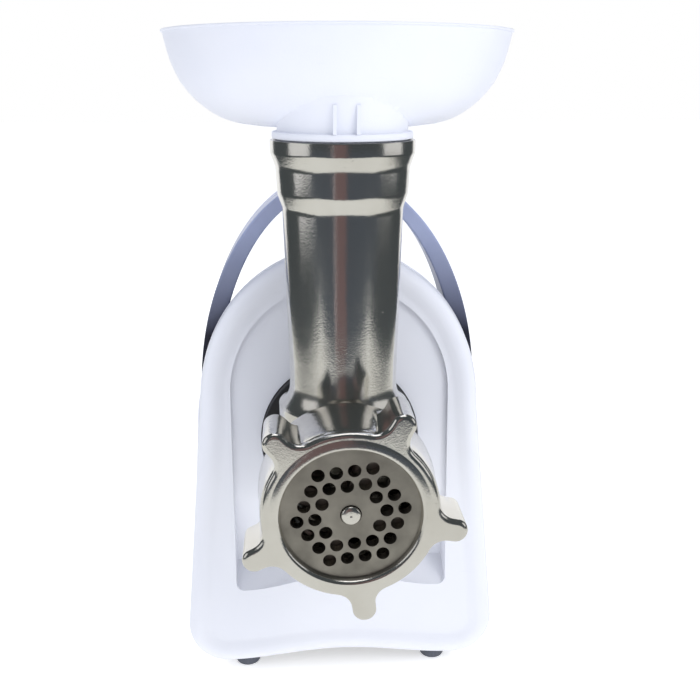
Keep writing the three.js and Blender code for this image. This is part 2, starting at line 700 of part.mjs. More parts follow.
// ---- switches on the back ----
const bezelY = [rearFaceY(rockerZ) - 5, rearFaceY(rockerZ) + 2];
let bezel = box(-22.6, 22.6, ...bezelY, rockerZ - 12.6, rockerZ + 12.6);
const rockers = [['power_rocker', -10.5], ['reverse_rocker', 10.5]];
for (const [name, x] of rockers) {
  bezel = bezel.subtract(box(x - 8, x + 8, bezelY[0] - 1, bezelY[1] + 1, rockerZ - 10, rockerZ + 10));
  const rocker = new THREE.Shape();
  rocker.moveTo(-4, -8.5);
  rocker.lineTo(3.2, -9);
  rocker.lineTo(1.6, 0);
  rocker.lineTo(3.2, 9);
  rocker.lineTo(-4, 8.5);
  const block = new THREE.ExtrudeGeometry(rocker, { depth: 15, bevelEnabled: false });
  block.rotateX(Math.PI / 2).rotateZ(Math.PI / 2).translate(x, bezelY[1] - 2, rockerZ);
  block.translate(-7.5, 0, 0);
  add(name, toSolid(block), name === 'power_rocker' ? blackPlastic : greyRubber);
}
add('switch_bezel', bezel, blackPlastic);
add('switch_block', box(-22, 22, bezelY[0] - 18, bezelY[0] - 1, rockerZ - 12, rockerZ + 12), blackPlastic);

// ---- grommet where the mains lead enters ----
add('cord_grommet', turnY([
  [3.6, rearmost - 8], [7, rearmost - 8], [7, rearmost - 1.5], [5.5, rearmost], [3.6, rearmost],
  [3.6, rearmost - 8],
], 0, cordZ, 20), greyRubber);

export default grinder;
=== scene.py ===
import json
import math

import bmesh
import bpy
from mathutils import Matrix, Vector


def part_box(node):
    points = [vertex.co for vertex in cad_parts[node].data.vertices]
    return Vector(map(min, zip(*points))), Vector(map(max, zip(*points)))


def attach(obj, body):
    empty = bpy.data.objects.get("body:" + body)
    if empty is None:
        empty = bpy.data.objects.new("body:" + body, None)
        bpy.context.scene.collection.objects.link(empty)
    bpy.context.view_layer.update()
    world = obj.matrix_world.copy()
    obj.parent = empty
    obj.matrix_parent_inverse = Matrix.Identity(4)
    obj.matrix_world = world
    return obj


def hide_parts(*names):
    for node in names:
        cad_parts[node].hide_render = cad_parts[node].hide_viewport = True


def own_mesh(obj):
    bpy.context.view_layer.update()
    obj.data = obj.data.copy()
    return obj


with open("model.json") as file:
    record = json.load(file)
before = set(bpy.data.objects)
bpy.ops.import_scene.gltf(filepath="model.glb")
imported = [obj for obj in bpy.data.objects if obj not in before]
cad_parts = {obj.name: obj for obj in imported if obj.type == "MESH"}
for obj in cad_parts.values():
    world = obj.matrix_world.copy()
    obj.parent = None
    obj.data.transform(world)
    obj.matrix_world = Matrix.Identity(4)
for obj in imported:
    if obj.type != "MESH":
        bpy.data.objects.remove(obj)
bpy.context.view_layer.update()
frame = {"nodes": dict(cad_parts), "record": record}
scene = bpy.context.scene
mm = 0.001
near = 0.01 * mm  # places this close count as one
past = 10 * mm  # how far a cutter runs past a face
plateLow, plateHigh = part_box("cutting_plate")
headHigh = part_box("head_casting")[1]
axisZ = (plateLow.z + plateHigh.z) / 2  # height of the auger's axis
plateFrontY = plateLow.y
axisSpot = (0, 0, axisZ)
print("frame loaded")

# reach, rise and side are counted from the middle of the plate's front
cameraSet = {"lens": 46.29, "sensor": 36, "turn": -3.73, "pitch": 16.8, "reach": 0.3662, "rise": 0.0672,
             "side": 0.0004}


def placeCamera():
    turn = math.radians(cameraSet["turn"])
    pitch = math.radians(cameraSet["pitch"])
    ahead = Vector((-math.sin(turn) * math.cos(pitch), math.cos(turn) * math.cos(pitch), -math.sin(pitch)))
    right = Vector((math.cos(turn), math.sin(turn), 0))
    up = right.cross(ahead)
    data = bpy.data.cameras.new("camera")
    data.lens = cameraSet["lens"]
    data.sensor_width = cameraSet["sensor"]
    camera = bpy.data.objects.new("camera", data)
    scene.collection.objects.link(camera)
    aim = Vector((0, plateFrontY, axisZ))
    camera.location = aim - right * cameraSet["side"] + up * cameraSet["rise"] - ahead * cameraSet["reach"]
    camera.rotation_euler = ahead.to_track_quat("-Z", "Y").to_euler()
    scene.camera = camera


placeCamera()
print("camera placed")


class Value:
    # wraps a shader socket, so that sums and products of sockets add their Math nodes

    def __init__(self, maker, socket):
        self.maker = maker
        self.socket = socket

    def join(self, operation, *others):
        return self.maker.node("ShaderNodeMath", {"operation": operation}, dict(enumerate(others)))

    def __add__(self, other):
        return self.join("ADD", self, other)

    def __sub__(self, other):
        return self.join("SUBTRACT", self, other)

    def __rsub__(self, other):
        return self.join("SUBTRACT", other, self)

    def __mul__(self, other):
        return self.join("MULTIPLY", self, other)

    __radd__ = __add__
    __rmul__ = __mul__


class Finish:
    # a node material, made one node at a time

    def __init__(self, name):
        self.material = bpy.data.materials.new(name)
        self.material.use_nodes = True
        self.tree = self.material.node_tree
        self.tree.nodes.clear()
        self.surface = self.tree.nodes.new("ShaderNodeBsdfPrincipled")
        output = self.tree.nodes.new("ShaderNodeOutputMaterial")
        self.tree.links.new(self.surface.outputs[0], output.inputs[0])

    def node(self, kind, settings=None, inputs=None, output=0):
        made = self.tree.nodes.new(kind)
        for key, value in (settings or {}).items():
            if key == "stops":
                while len(made.color_ramp.elements) < len(value):
                    made.color_ramp.elements.new(0.5)
                for element, (place, tone) in zip(made.color_ramp.elements, value):
                    element.position = place
                    element.color = (*tone, 1)
            else:
                setattr(made, key, value)
        for key, value in (inputs or {}).items():
            self.feed(made.inputs[key], value)
        return Value(self, made.outputs[output])

    def feed(self, socket, value):
        if isinstance(value, Value):
            self.tree.links.new(value.socket, socket)
        elif hasattr(value, "__len__") and len(value) == 3 and socket.type == "RGBA":
            socket.default_value = (*value, 1)
        else:
            socket.default_value = value

    def place(self, centre=(0, 0, 0), scale=(1, 1, 1)):
        spot = self.node("ShaderNodeTexCoord", output=3)
        moved = [-c * s for c, s in zip(centre, scale)]
        return self.node("ShaderNodeMapping", None, {"Vector": spot, "Location": moved, "Scale": scale})

    def noise(self, where, scale, detail=3.0, roughness=0.55):
        return self.node("ShaderNodeTexNoise", None,
                         {"Vector": where, "Scale": scale, "Detail": detail, "Roughness": roughness})

    def spread(self, value, low, high):  # stretches low..high to 0..1
        return self.node("ShaderNodeMapRange", {"clamp": True}, {0: value, 1: low, 2: high, 3: 0.0, 4: 1.0})

    def cloud(self, where, scale, detail=3.0, roughness=0.55):  # soft patches
        return self.spread(self.noise(where, scale, detail, roughness), 0.35, 0.7)

    def blend(self, share, first, second):
        return self.node("ShaderNodeMix", {"data_type": "RGBA"}, {0: share, 6: first, 7: second}, output=2)

    def bump(self, height, strength, distance):
        return self.node("ShaderNodeBump", None,
                         {"Height": height, "Strength": strength, "Distance": distance})

    def split(self, where, axis):
        return self.node("ShaderNodeSeparateXYZ", None, {0: where}, output=axis)

    def done(self, **sockets):
        for key, value in sockets.items():
            self.feed(self.surface.inputs[key.replace("_", " ")], value)
        return self.material


def mouldedPlastic(name, tone, shade, rough, grain=0.5, coat=0.0):
    # moulded plastic: cloudy tone, fine spark-eroded grain, a few hairline scuffs
    finish = Finish(name)
    where = finish.place()
    cloud = finish.cloud(where, 14)
    fine = finish.noise(where, 1500, 2)
    scuff = finish.spread(finish.noise(finish.place(scale=(1, 1, 9)), 60, 6, 0.7), 0.63, 0.75)
    colour = finish.blend(scuff * 0.3, finish.blend(cloud, tone, shade), [0.9 * c for c in shade])
    normal = finish.bump(fine * 0.5 + finish.noise(where, 260, 2) * 0.5, grain, 0.00012)
    return finish.done(Base_Color=colour, Roughness=cloud * 0.06 + scuff * 0.12 + rough, Normal=normal,
                       Coat_Weight=coat, Coat_Roughness=0.12, IOR=1.47)


def handlePlastic():
    # blue-grey plastic tone, with painted shade that darkens it to near black towards the feet, where it goes
    # into the housing
    finish = Finish("handlePlastic")
    where = finish.place()
    height = finish.split(where, 2)
    # painted shade: the share of near-black grows lower down the handle, standing in for the shade between
    # the handle and the housing
    deep = finish.spread(height, 0.176, 0.228)
    cloud = finish.cloud(where, 30)
    blueGreyTone = finish.blend(cloud, (0.37, 0.42, 0.63), (0.43, 0.48, 0.69))
    # painted shade: near-black colour low on the handle, blended over the blue-grey tone
    colour = finish.blend(deep, (0.014, 0.015, 0.035), blueGreyTone)
    normal = finish.bump(finish.noise(where, 900, 2), 0.3, 0.0001)
    return finish.done(Base_Color=colour, Roughness=cloud * 0.08 + 0.26, Normal=normal, IOR=1.5)


def polishedMetal():
    # hand-buffed casting: wavy skin, faint polishing lines and small pits
    finish = Finish("polishedMetal")
    where = finish.place()
    wave = finish.noise(finish.place(scale=(1, 1, 0.35)), 75, 3)
    speckle = finish.noise(where, 1300, 2, 0.6)
    lines = finish.noise(finish.place(scale=(1, 1, 0.12)), 700, 4, 0.6)
    pits = finish.spread(finish.noise(where, 420, 4, 0.7), 0.68, 0.78)
    cloud = finish.cloud(where, 26, 4, 0.6)
    skin = finish.blend(cloud, (0.83, 0.82, 0.79), (0.74, 0.72, 0.68))
    colour = finish.blend(pits, skin, (0.4, 0.37, 0.34))
    height = wave * 0.8 + lines * 0.05 + speckle * 0.14 - pits * 0.08
    return finish.done(Base_Color=colour, Metallic=1.0, Roughness=cloud * 0.07 + pits * 0.2 + 0.13,
                       Normal=finish.bump(height, 0.35, 0.0007))


def satinSteel(name="satinSteel", tone=(0.44, 0.42, 0.38), centre=axisSpot, rough=0.42):
    # faced in a lathe: fine rings round the axis, dull patches
    finish = Finish(name)
    where = finish.place(centre=centre)
    rings = finish.node("ShaderNodeTexWave",
                        {"wave_type": "RINGS", "rings_direction": "Y", "wave_profile": "SIN"},
                        {"Vector": where, "Scale": 900.0, "Distortion": 2.0, "Detail": 2.0})
    cloud = finish.cloud(where, 70, 4, 0.6)
    colour = finish.blend(cloud, tone, [0.78 * c for c in tone])
    return finish.done(Base_Color=colour, Metallic=1.0, Roughness=cloud * 0.14 + rough,
                       Normal=finish.bump(rings * 0.3 + cloud * 0.7, 0.12, 0.00008))


def softRubber(name, tone, rough=0.72):
    finish = Finish(name)
    where = finish.place()
    dust = finish.spread(finish.noise(where, 120, 4, 0.65), 0.45, 0.75)
    colour = finish.blend(dust, tone, [0.72 * c + 0.05 for c in tone])
    return finish.done(Base_Color=colour, Roughness=dust * 0.12 + rough,
                       Normal=finish.bump(finish.noise(where, 1100, 3), 0.5, 0.00015))


def windings():
    # enamelled copper wire laid side by side
    finish = Finish("copperWindings")
    where = finish.place()
    strands = finish.node("ShaderNodeTexWave", {"wave_type": "BANDS", "bands_direction": "DIAGONAL"},
                          {"Vector": where, "Scale": 320.0, "Distortion": 1.2, "Detail": 1.0})
    colour = finish.blend(strands, (0.2, 0.07, 0.025), (0.62, 0.25, 0.1))
    return finish.done(Base_Color=colour, Metallic=0.8, Roughness=strands * 0.1 + 0.3,
                       Normal=finish.bump(strands, 0.6, 0.0004))


finishes = {
    "white_plastic": mouldedPlastic("whitePlastic", (0.88, 0.89, 0.945), (0.855, 0.868, 0.935), rough=0.3),
    "tray_plastic": mouldedPlastic("trayPlastic", (0.84, 0.855, 0.92), (0.8, 0.82, 0.9),
                                  rough=0.42, grain=0.8),
    "handle_plastic": handlePlastic(),
    "black_plastic": mouldedPlastic("blackPlastic", (0.012, 0.012, 0.015), (0.02, 0.02, 0.024),
                                   rough=0.42, grain=1.0),
    "grey_rubber": softRubber("greyRubber", (0.1, 0.11, 0.14)),
    "polished_metal": polishedMetal(),
    "satin_steel": satinSteel(),
    "gear_plastic": mouldedPlastic("gearPlastic", (0.8, 0.72, 0.52), (0.74, 0.66, 0.46), rough=0.45),
    "copper": windings(),
    "bronze": satinSteel("sinteredBronze", (0.5, 0.34, 0.14), rough=0.45),
}
slotOf = {row["node"]: row["material_slot"] for row in frame["record"]["subparts"]}
for nodeName, node in frame["nodes"].items():
    node.data.materials.clear()
    node.data.materials.append(finishes[slotOf[nodeName]])
print("materials made")


def deselectAll():
    if bpy.context.object and bpy.context.object.mode != "OBJECT":
        bpy.ops.object.mode_set(mode="OBJECT")
    bpy.ops.object.select_all(action="DESELECT")


def choose(kind, test):
    # selects what passes a test on its middle, and on the item itself
    bpy.ops.mesh.select_mode(type=kind)
    bpy.ops.mesh.select_all(action="DESELECT")
    net = bmesh.from_edit_mesh(bpy.context.object.data)
    items = {"VERT": net.verts, "EDGE": net.edges, "FACE": net.faces}[kind]
    for item in items:
        middle = item.co if kind == "VERT" else sum((v.co for v in item.verts), Vector()) / len(item.verts)
        if test(middle, item):
            item.select_set(True)
    bmesh.update_edit_mesh(bpy.context.object.data)


def drawLine(name, spots):
    # one vertex, extruded from spot to spot
    deselectAll()
    bpy.ops.mesh.primitive_plane_add(size=mm)
    piece = bpy.context.object
    piece.name = name
    bpy.ops.object.mode_set(mode="EDIT")
    bpy.ops.mesh.select_mode(type="VERT")
    bpy.ops.mesh.select_all(action="SELECT")
    bpy.ops.mesh.merge(type="CENTER")
    bpy.ops.transform.translate(value=spots[0])
    for here, there in zip(spots, spots[1:]):
        bpy.ops.mesh.extrude_region_move(TRANSFORM_OT_translate={"value": there - here})
    bpy.ops.mesh.select_all(action="SELECT")
    return piece


def drawFace(name, spots, facing):
    # a drawn outline filled with one face, turned to face the given way
    piece = drawLine(name, spots)
    bpy.ops.mesh.edge_face_add()
    bpy.ops.mesh.select_mode(type="FACE")
    bpy.ops.mesh.select_all(action="SELECT")
    net = bmesh.from_edit_mesh(piece.data)
    net.faces.ensure_lookup_table()
    net.normal_update()
    if net.faces[0].normal.dot(Vector(facing)) < 0:
        bpy.ops.mesh.flip_normals()
    return piece


def pushFace(step):
    bpy.ops.mesh.extrude_region_move(TRANSFORM_OT_translate={"value": step})


def leanFace(pivot, angle):
    # tips what is selected about the X axis, the top going back for a positive angle
    bpy.ops.transform.rotate(value=angle, orient_axis="X", center_override=pivot)


def roundOver(reach, depth, steps=7):
    # rounds the rim of the selected face by insets along a quarter of an ellipse
    turns = [math.pi / 2 * i / steps for i in range(steps + 1)]
    for a, b in zip(turns, turns[1:]):
        inwards = reach * (math.cos(a) - math.cos(b))
        bpy.ops.mesh.inset(thickness=inwards, depth=depth * (math.sin(b) - math.sin(a)))


def closeUp(piece):
    # joins doubled points and turns every face outwards
    bpy.ops.mesh.select_all(action="SELECT")
    bpy.ops.mesh.remove_doubles(threshold=0.002 * mm)
    bpy.ops.mesh.normals_make_consistent(inside=False)
    bpy.ops.object.mode_set(mode="OBJECT")
    return piece


def prism(name, spots, step):
    drawFace(name, spots, -Vector(step))
    pushFace(step)
    return closeUp(bpy.context.object)


def spun(name, profile, centre=(0, 0, 0), axis="Z", steps=96):
    # (radius, place along the axis) points, drawn and spun
    along = {"Z": Vector((0, 0, 1)), "Y": Vector((0, 1, 0))}[axis]
    middle = Vector(centre)
    middle -= along * middle.dot(along)
    piece = drawLine(name, [middle + Vector((r, 0, 0)) + along * h for r, h in profile])
    bpy.ops.mesh.spin(steps=steps, angle=2 * math.pi, center=middle, axis=along)
    return closeUp(piece)


def rod(name, radius, low, high, centre, axis="Z", steps=64):
    return spun(name, [(0, low), (radius, low), (radius, high), (0, high)], centre, axis, steps)


def block(name, low, high):
    deselectAll()
    bpy.ops.mesh.primitive_cube_add(size=1)
    piece = bpy.context.object
    piece.name = name
    bpy.ops.object.mode_set(mode="EDIT")
    bpy.ops.mesh.select_all(action="SELECT")
    bpy.ops.transform.resize(value=[b - a for a, b in zip(low, high)])
    bpy.ops.transform.translate(value=[(a + b) / 2 for a, b in zip(low, high)])
    bpy.ops.object.mode_set(mode="OBJECT")
    return piece


def applied(piece, kind, **settings):
    deselectAll()
    bpy.context.view_layer.objects.active = piece
    modifier = piece.modifiers.new(kind, kind)
    for key, value in settings.items():
        setattr(modifier, key, value)
    bpy.ops.object.modifier_apply(modifier=modifier.name)


def sealed(piece):
    # a cut can leave slivers with an open side, so near points are joined and the rest is filled
    deselectAll()
    bpy.context.view_layer.objects.active = piece
    bpy.ops.object.mode_set(mode="EDIT")
    bpy.ops.mesh.select_mode(type="VERT")
    bpy.ops.mesh.select_all(action="SELECT")
    bpy.ops.mesh.remove_doubles(threshold=near)
    bpy.ops.mesh.select_all(action="DESELECT")
    bpy.ops.mesh.select_non_manifold(extend=False)
    bpy.ops.mesh.fill_holes(sides=0)
    bpy.ops.object.mode_set(mode="OBJECT")


def cut(piece, *cutters, operation="DIFFERENCE"):
    for cutter in cutters:
        applied(piece, "BOOLEAN", object=cutter, operation=operation, solver="EXACT")
        bpy.data.objects.remove(cutter)
        sealed(piece)


def bevelled(piece, width, segments=3, angle=35):
    applied(piece, "BEVEL", width=width, segments=segments, limit_method="ANGLE",
            angle_limit=math.radians(angle))


def smooth(piece, angle=35):
    deselectAll()
    piece.select_set(True)
    bpy.context.view_layer.objects.active = piece
    bpy.ops.object.shade_smooth_by_angle(angle=math.radians(angle))
    applied(piece, "WEIGHTED_NORMAL", keep_sharp=True, weight=80)


def standFor(piece, nodes, body):
    # the piece takes the nodes' place, and their finish
    slot = slotOf[nodes[0]]
    piece.data.materials.clear()
    piece.data.materials.append(finishes[slot])
    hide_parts(*nodes)
    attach(piece, body)
    print("made", piece.name, len(piece.data.polygons), "faces")


def middleOf(node):
    low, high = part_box(node)
    return (low + high) / 2


def ease(low, high, value):
    share = min(1, max(0, (value - low) / (high - low)))
    return share * share * (3 - 2 * share)


def mirrored(right):
    # closes an outline whose right half runs from the bottom centre to the top centre
    return right + [(-x, z) for x, z in right[-2:0:-1]]


frontLow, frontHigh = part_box("front_housing")
rearLow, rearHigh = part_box("rear_housing")
housing = {"corner": 20 * mm, "rise": 4.4 * mm, "bottomSteps": 10, "cornerSteps": 12, "archSteps": 28}


def archHalf(baseHalf, bottom, corner, rise, half, spring, top):
    # bottom edge with a slight rise in the middle, round corner, straight side, quarter of an ellipse
    straight = baseHalf - corner
    right = []
    for i in range(housing["bottomSteps"]):
        x = straight * i / housing["bottomSteps"]
        right.append((x, bottom + rise / 2 * (1 + math.cos(math.pi * x / straight))))
    for i in range(housing["cornerSteps"] + 1):
        turn = math.pi / 2 * (i / housing["cornerSteps"] - 1)
        right.append((straight + corner * math.cos(turn), bottom + corner * (1 + math.sin(turn))))
    for i in range(housing["archSteps"] + 1):
        turn = math.pi / 2 * i / housing["archSteps"]
        right.append((half * math.cos(turn), spring + (top - spring) * math.sin(turn)))
    right[-1] = (0, top)
    return mirrored(right)


def onPlane(outline, y):
    return [Vector((x, y, z)) for x, z in outline]


front = {"half": 68 * mm, "spring": 145 * mm, "lean": math.atan(19 / 212), "edge": 6 * mm, "wall": 2.2 * mm,
         "rimIn": 8.2 * mm, "dishIn": 2.6 * mm, "dish": 1.3 * mm, "recessHalf": 53 * mm,
         "recessSpring": 150 * mm, "recessBottom": 48 * mm, "recessRise": 7 * mm, "recessCorner": 4 * mm,
         "shallow": 4.2 * mm, "deep": 16 * mm, "coveLow": 57 * mm, "coveHigh": 101 * mm, "coveSteps": 24,
         "soften": 0.9 * mm, "hole": 38.8 * mm}
# sizes of the solids that cut the recess, where they stand clear of the housing
recessRoom = {"bodyAhead": 20 * mm, "bodyDeep": 60 * mm, "sideAhead": 30 * mm, "beside": 8 * mm,
              "below": 3 * mm}


def frontFaceY(z):
    return frontLow.y + math.tan(front["lean"]) * (z - frontLow.z)


def recessCutter(grow=0.0):
    outline = archHalf(front["recessHalf"] + grow, front["recessBottom"] - grow, front["recessCorner"],
                       front["recessRise"], front["recessHalf"] + grow, front["recessSpring"],
                       front["recessSpring"] + front["recessHalf"] + grow)
    body = prism("recessBody", onPlane(outline, frontLow.y - recessRoom["bodyAhead"]),
                 Vector((0, recessRoom["bodyDeep"], 0)))
    ahead = frontLow.y - recessRoom["sideAhead"]
    side = [(ahead, frontHigh.z)]
    for i in range(front["coveSteps"] + 1):
        z = frontHigh.z + (front["coveLow"] - grow - frontHigh.z) * i / front["coveSteps"]
        share = 1 - ease(front["coveLow"], front["coveHigh"], z + grow / 2)
        depth = front["shallow"] + (front["deep"] - front["shallow"]) * share
        side.append((frontFaceY(z) + depth + grow, z))
    foot = front["recessBottom"] - mm - grow
    side += [(frontFaceY(foot), foot), (ahead, foot - recessRoom["below"])]
    half = front["recessHalf"] + recessRoom["beside"]
    cutter = prism("recessSide", [Vector((-half, y, z)) for y, z in side], Vector((2 * half, 0, 0)))
    cut(body, cutter, operation="INTERSECT")
    return body


underside = {"gap": 0.3 * mm, "top": 19 * mm}


def undersideCutter():
    # the room for the base plate, open downwards
    low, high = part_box("base_plate")
    gap = underside["gap"]
    return block("underside", (low.x - gap, low.y - gap, 0), (high.x + gap, high.y + gap, underside["top"]))


def hollow(piece, seamY, thickness):
    # opens the seam side, then gives the skin its wall
    deselectAll()
    bpy.context.view_layer.objects.active = piece
    bpy.ops.object.mode_set(mode="EDIT")
    choose("FACE", lambda middle, face: abs(middle.y - seamY) < near and abs(face.normal.y) > 0.99)
    bpy.ops.mesh.delete(type="FACE")
    bpy.ops.object.mode_set(mode="OBJECT")
    applied(piece, "SOLIDIFY", thickness=thickness, offset=-1)


def frontBlock(name, inset, seamY):
    # the arch drawn at the seam, pushed forward, leant back and rounded over
    outline = archHalf(frontHigh.x - inset, frontLow.z + inset, housing["corner"] - inset, housing["rise"],
                       front["half"] - inset, front["spring"], frontHigh.z - inset)
    piece = drawFace(name, onPlane(outline, seamY), (0, -1, 0))
    startY = frontLow.y + front["edge"]
    pushFace(Vector((0, startY - seamY, 0)))
    leanFace((0, startY, frontLow.z), front["lean"])
    roundOver(front["edge"] - inset, front["edge"] - inset)
    return piece


def frontHousing():
    piece = frontBlock("frontHousing", 0, frontHigh.y)
    bpy.ops.mesh.inset(thickness=front["rimIn"] - front["edge"], depth=0)
    for share in (0.7, 0.3):  # the dish falls fast, then slowly
        bpy.ops.mesh.inset(thickness=front["dishIn"], depth=-front["dish"] * share)
    closeUp(piece)
    cut(piece, recessCutter())
    room = closeUp(frontBlock("frontRoom", front["wall"], frontHigh.y + mm))
    cut(room, recessCutter(front["wall"]))
    hole = rod("socketHole", front["hole"], frontLow.y - past, frontHigh.y + past, axisSpot, "Y", steps=96)
    cut(piece, room, hole, undersideCutter())
    bevelled(piece, front["soften"], angle=42)
    smooth(piece, angle=38)
    standFor(piece, ["front_housing"], "machine")


handleLow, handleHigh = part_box("carry_handle")
handle = {"outer": (68 * mm, 108 * mm), "inner": (59 * mm, 102 * mm), "spring": 145 * mm, "round": 2.4 * mm,
          "sides": 160}


def ovalDisc(name, half, rise, low, high):
    deselectAll()
    bpy.ops.mesh.primitive_cylinder_add(vertices=handle["sides"], radius=1, depth=1)
    piece = bpy.context.object
    piece.name = name
    bpy.ops.object.mode_set(mode="EDIT")
    bpy.ops.mesh.select_all(action="SELECT")
    bpy.ops.transform.rotate(value=math.pi / 2, orient_axis="X", center_override=(0, 0, 0))
    bpy.ops.transform.resize(value=(half, high - low, rise), center_override=(0, 0, 0))
    bpy.ops.transform.translate(value=(0, (low + high) / 2, handle["spring"]))
    return closeUp(piece)


def handleSolid(name, grow=0.0):
    low, high = handleLow.y - grow, handleHigh.y + grow
    piece = ovalDisc(name, handle["outer"][0] + grow, handle["outer"][1] + grow, low, high)
    halfGap, riseGap = handle["inner"]
    cut(piece, ovalDisc("handleGap", halfGap - grow, riseGap - grow, low - mm, high + mm))
    bpy.ops.object.mode_set(mode="EDIT")
    bpy.ops.mesh.select_all(action="SELECT")
    bpy.ops.mesh.bisect(plane_co=(0, 0, handleLow.z - grow), plane_no=(0, 0, 1), use_fill=True,
                        clear_inner=True)
    return closeUp(piece)


def carryHandle():
    piece = handleSolid("carryHandle")
    bevelled(piece, handle["round"], segments=5)
    smooth(piece, angle=40)
    standFor(piece, ["carry_handle"], "machine")


rear = {"half": 70.3 * mm, "spring": 130 * mm, "wall": 2.4 * mm, "reach": 16 * mm, "depth": 30 * mm,
        "lean": math.atan(12 / 212), "pivot": 28 * mm, "buttonHole": 9.3 * mm, "cordHole": 7.3 * mm,
        "slots": 6, "slotHalf": 26 * mm, "slotLow": 56 * mm, "slotStep": 10 * mm, "slotTall": 4 * mm,
        "slotDeep": 20 * mm, "switchGap": (0.4, 8, 0.4), "pocketGap": 0.3 * mm, "buttonDown": 6 * mm,
        "buttonUp": 20 * mm, "cordIn": 20 * mm,
        # places along Y and the height of the top there
        "tops": ((-0.022, 0.2045), (-0.005, 0.2022), (0.012, 0.1995), (0.03, 0.196), (0.048, 0.1918),
                 (0.066, 0.187), (0.084, 0.1815))}


def rearHousing():
    # the arch pushed back station by station, each one lower, then leant and rounded over
    outline = archHalf(rearHigh.x, rearLow.z, housing["corner"], housing["rise"],
                       rear["half"], rear["spring"], rearHigh.z)
    piece = drawFace("rearHousing", onPlane(outline, rearLow.y), (0, 1, 0))
    y, top = rearLow.y, rearHigh.z
    for nextY, nextTop in rear["tops"]:
        pushFace(Vector((0, nextY - y, 0)))
        choose("VERT", lambda middle, item: abs(middle.y - nextY) < near and middle.z > rear["pivot"])
        lower = (nextTop - rear["pivot"]) / (top - rear["pivot"])
        bpy.ops.transform.resize(value=(1, 1, lower), center_override=(0, nextY, rear["pivot"]))
        choose("FACE", lambda middle, item: abs(middle.y - nextY) < near and abs(item.normal.y) > 0.9)
        y, top = nextY, nextTop
    leanY = rearHigh.y - rear["depth"]
    pushFace(Vector((0, leanY - y, 0)))
    leanFace((0, leanY, rearLow.z), -rear["lean"])
    roundOver(rear["reach"], rear["depth"], steps=9)
    closeUp(piece)
    hollow(piece, rearLow.y, rear["wall"])
    buttonSpot, bezel = middleOf("lock_button"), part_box("switch_bezel")
    gap = Vector(rear["switchGap"]) * mm
    cordLow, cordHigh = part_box("cord_grommet")
    cutters = [handleSolid("handlePocket", rear["pocketGap"]), undersideCutter(),
               rod("buttonHole", rear["buttonHole"], buttonSpot.z - rear["buttonDown"],
                   buttonSpot.z + rear["buttonUp"], buttonSpot),
               block("switchHole", bezel[0] - gap, bezel[1] + gap),
               rod("cordHole", rear["cordHole"], cordLow.y - rear["cordIn"], cordHigh.y + past,
                   middleOf("cord_grommet"), "Y")]
    for i in range(rear["slots"]):
        z = rear["slotLow"] + rear["slotStep"] * i
        cutters.append(block("ventSlot", (-rear["slotHalf"], rearHigh.y - rear["slotDeep"], z),
                             (rear["slotHalf"], rearHigh.y + mm, z + rear["slotTall"])))
    cut(piece, *cutters)
    smooth(piece, angle=38)
    standFor(piece, ["rear_housing"], "machine")


tubeY = plateFrontY + 54 * mm  # axis of the feed tube
# outlines are radius and distance in mm: from the plate's front for the barrel, from the axis for the tube
head = {
    "sides": 128, "tubeFront": plateFrontY + 28.2 * mm,
    "spareHalf": 50 * mm, "spareDeep": 30 * mm, "spareRise": 39 * mm,
    "barrel": ((0, 1), (33.2, 1), (34, 1.8), (34, 28), (37, 28.3), (37.5, 28.8), (37.5, 30.3), (36.8, 31),
               (34, 31.6), (33, 35), (32.2, 42), (30.6, 60), (30, 66), (29.6, 77.2), (29, 77.9), (27, 78),
               (27, 93.5), (0, 93.5)),
    "barrelBore": ((0, -1), (31.3, -1), (31.3, 5.3), (29.5, 5.3), (29.5, 14.5), (25.5, 19.5), (24.8, 85.5),
                   (8.6, 85.5), (8.6, 94.5), (0, 94.5)),
    "tube": ((0, 146), (30, 146), (30.3, 145.9), (30.5, 145.4), (30.5, 141.2), (30.3, 140.2), (28.8, 136),
             (28.4, 134.8), (28.3, 133.6), (27.8, 125), (27.6, 123.4), (26, 118.6), (25.75, 117.2),
             (25.7, 116), (24.75, 80), (24, 52), (23.9, 40), (24.1, 37), (24.8, 34.5), (26, 32.4),
             (27.8, 30.6), (29, 30), (29, 10), (0, 10)),
    "tubeBore": ((0, 0), (21.3, 0), (23.2, 128), (23.4, 130), (27.6, 133.4), (28, 134), (28.2, 145.4),
                 (29, 146.6), (0, 146.6)),
}


def along(points, start):
    return [(r * mm, start + h * mm) for r, h in points]


def headCasting():
    piece = spun("headCasting", along(head["barrel"], plateFrontY), axisSpot, "Y", head["sides"])
    tube = spun("feedTube", along(head["tube"], axisZ), (0, tubeY, 0), "Z", head["sides"])
    # the spread foot of the tube ends at the flange behind the nut
    cut(tube, block("nutRoom", (-head["spareHalf"], head["tubeFront"] - head["spareDeep"], axisZ),
                    (head["spareHalf"], head["tubeFront"], axisZ + head["spareRise"])))
    cut(piece, tube, operation="UNION")
    cut(piece, spun("barrelBore", along(head["barrelBore"], plateFrontY), axisSpot, "Y", head["sides"]),
        spun("tubeBore", along(head["tubeBore"], axisZ), (0, tubeY, 0), "Z", head["sides"]))
    smooth(piece, angle=32)
    standFor(piece, ["head_casting"], "head")


